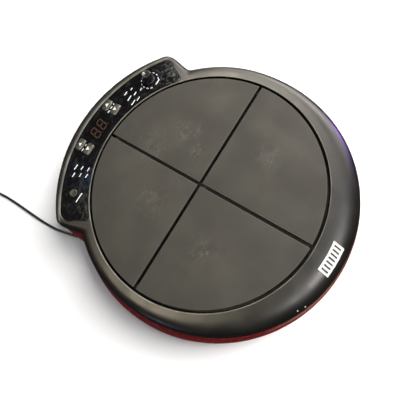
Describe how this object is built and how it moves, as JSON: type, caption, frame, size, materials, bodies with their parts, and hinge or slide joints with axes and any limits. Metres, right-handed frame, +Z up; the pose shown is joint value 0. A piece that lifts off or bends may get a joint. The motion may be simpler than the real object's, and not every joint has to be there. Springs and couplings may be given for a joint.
{
  "type": "electronic drum pad",
  "caption": "Round table-top electronic drum pad with quadrant rubber pads, a rear control panel with display, keys and volume knob, and its coiled power lead.",
  "frame": {"origin": "on the surface the object stands on, under the middle of the case (power lead left out)", "axes": "+Z up, +Y from the player towards the control panel, +X to the player's right"},
  "size_m": [0.3582, 0.5626, 0.0705],
  "materials": {
    "case_black": "satin moulded ABS",
    "case_red": "dark red moulded ABS",
    "pad_rubber": "matt rubber",
    "pad_steel": "zinc plated",
    "sensor_brass": "plain",
    "foam": "open-cell foam",
    "inner_black": "moulded",
    "panel_gloss": "high gloss",
    "window": "smoked acrylic",
    "emblem": "satin chrome",
    "key_silver": "silver paint",
    "knob_black": "satin",
    "steel": "zinc plated",
    "board": "solder mask on glass-epoxy",
    "ribbon": "flat cable",
    "socket_black": "moulded",
    "foot_rubber": "matt rubber",
    "cord_black": "PVC sheath",
    "adapter_black": "fine texture"
  },
  "bodies": {
    "case": {"adapter_lead": "cord_black", "board_ribbon": "ribbon", "bottom_shell": "case_red", "case_screw_front_left": "steel", "case_screw_front_right": "steel", "case_screw_rear_left": "steel", "case_screw_rear_right": "steel", "control_board": "board", "cord_coil": "cord_black", "data_socket": "socket_black", "display_module": "inner_black", "display_window": "window", "emblem_plate": "emblem", "foam_cushion_front_left": "foam", "foam_cushion_front_right": "foam", "foam_cushion_rear_left": "foam", "foam_cushion_rear_right": "foam", "foot_front_left": "foot_rubber", "foot_front_right": "foot_rubber", "foot_rear_left": "foot_rubber", "foot_rear_right": "foot_rubber", "headphone_socket": "socket_black", "left_down_switch": "inner_black", "left_up_switch": "inner_black", "line_in_socket": "socket_black", "main_board": "board", "output_socket_left": "socket_black", "output_socket_right": "socket_black", "pad_deck": "inner_black", "panel_inlay": "panel_gloss", "pedal_socket_a": "socket_black", "pedal_socket_b": "socket_black", "power_adapter": "adapter_black", "power_cord": "cord_black", "power_plug": "cord_black", "power_socket": "socket_black", "power_switch": "inner_black", "right_down_switch": "inner_black", "right_up_switch": "inner_black", "top_shell": "case_black", "volume_control_body": "inner_black"},
    "pad_rear_right_mover": {"pad_rear_right": "pad_rubber", "pad_plate_rear_right": "pad_steel", "piezo_sensor_rear_right": "sensor_brass"},
    "pad_rear_left_mover": {"pad_rear_left": "pad_rubber", "pad_plate_rear_left": "pad_steel", "piezo_sensor_rear_left": "sensor_brass"},
    "pad_front_left_mover": {"pad_front_left": "pad_rubber", "pad_plate_front_left": "pad_steel", "piezo_sensor_front_left": "sensor_brass"},
    "pad_front_right_mover": {"pad_front_right": "pad_rubber", "pad_plate_front_right": "pad_steel", "piezo_sensor_front_right": "sensor_brass"},
    "left_up_key_mover": {"left_up_key": "key_silver"},
    "left_down_key_mover": {"left_down_key": "key_silver"},
    "right_up_key_mover": {"right_up_key": "key_silver"},
    "right_down_key_mover": {"right_down_key": "key_silver"},
    "power_button_mover": {"power_button": "key_silver"},
    "volume_knob_mover": {"volume_knob": "knob_black", "volume_shaft": "steel"}
  },
  "joints": [
    {"name": "pad_rear_right_press", "type": "slide", "parent": "case", "child": "pad_rear_right_mover", "axis": [0, 0, 1], "range_m": [-0.001, 0], "stiffness_N_per_m": 20000, "springref_m": 0.0003, "deforming": ["foam_cushion_rear_right"]},
    {"name": "pad_rear_left_press", "type": "slide", "parent": "case", "child": "pad_rear_left_mover", "axis": [0, 0, 1], "range_m": [-0.001, 0], "stiffness_N_per_m": 20000, "springref_m": 0.0003, "deforming": ["foam_cushion_rear_left"]},
    {"name": "pad_front_left_press", "type": "slide", "parent": "case", "child": "pad_front_left_mover", "axis": [0, 0, 1], "range_m": [-0.001, 0], "stiffness_N_per_m": 20000, "springref_m": 0.0003, "deforming": ["foam_cushion_front_left"]},
    {"name": "pad_front_right_press", "type": "slide", "parent": "case", "child": "pad_front_right_mover", "axis": [0, 0, 1], "range_m": [-0.001, 0], "stiffness_N_per_m": 20000, "springref_m": 0.0003, "deforming": ["foam_cushion_front_right"]},
    {"name": "left_up_key_press", "type": "slide", "parent": "case", "child": "left_up_key_mover", "axis": [0, 0, 1], "range_m": [-0.0008, 0], "stiffness_N_per_m": 1500, "springref_m": 0.0003},
    {"name": "left_down_key_press", "type": "slide", "parent": "case", "child": "left_down_key_mover", "axis": [0, 0, 1], "range_m": [-0.0008, 0], "stiffness_N_per_m": 1500, "springref_m": 0.0003},
    {"name": "right_up_key_press", "type": "slide", "parent": "case", "child": "right_up_key_mover", "axis": [0, 0, 1], "range_m": [-0.0008, 0], "stiffness_N_per_m": 1500, "springref_m": 0.0003},
    {"name": "right_down_key_press", "type": "slide", "parent": "case", "child": "right_down_key_mover", "axis": [0, 0, 1], "range_m": [-0.0008, 0], "stiffness_N_per_m": 1500, "springref_m": 0.0003},
    {"name": "power_button_press", "type": "slide", "parent": "case", "child": "power_button_mover", "axis": [0, 0, 1], "range_m": [-0.001, 0], "stiffness_N_per_m": 1500, "springref_m": 0.0003},
    {"name": "volume_turn", "type": "hinge", "parent": "case", "child": "volume_knob_mover", "pos_m": [0.0805, 0.117, 0.0572], "axis": [0, 0, 1], "range_deg": [-150, 150]}
  ]
}
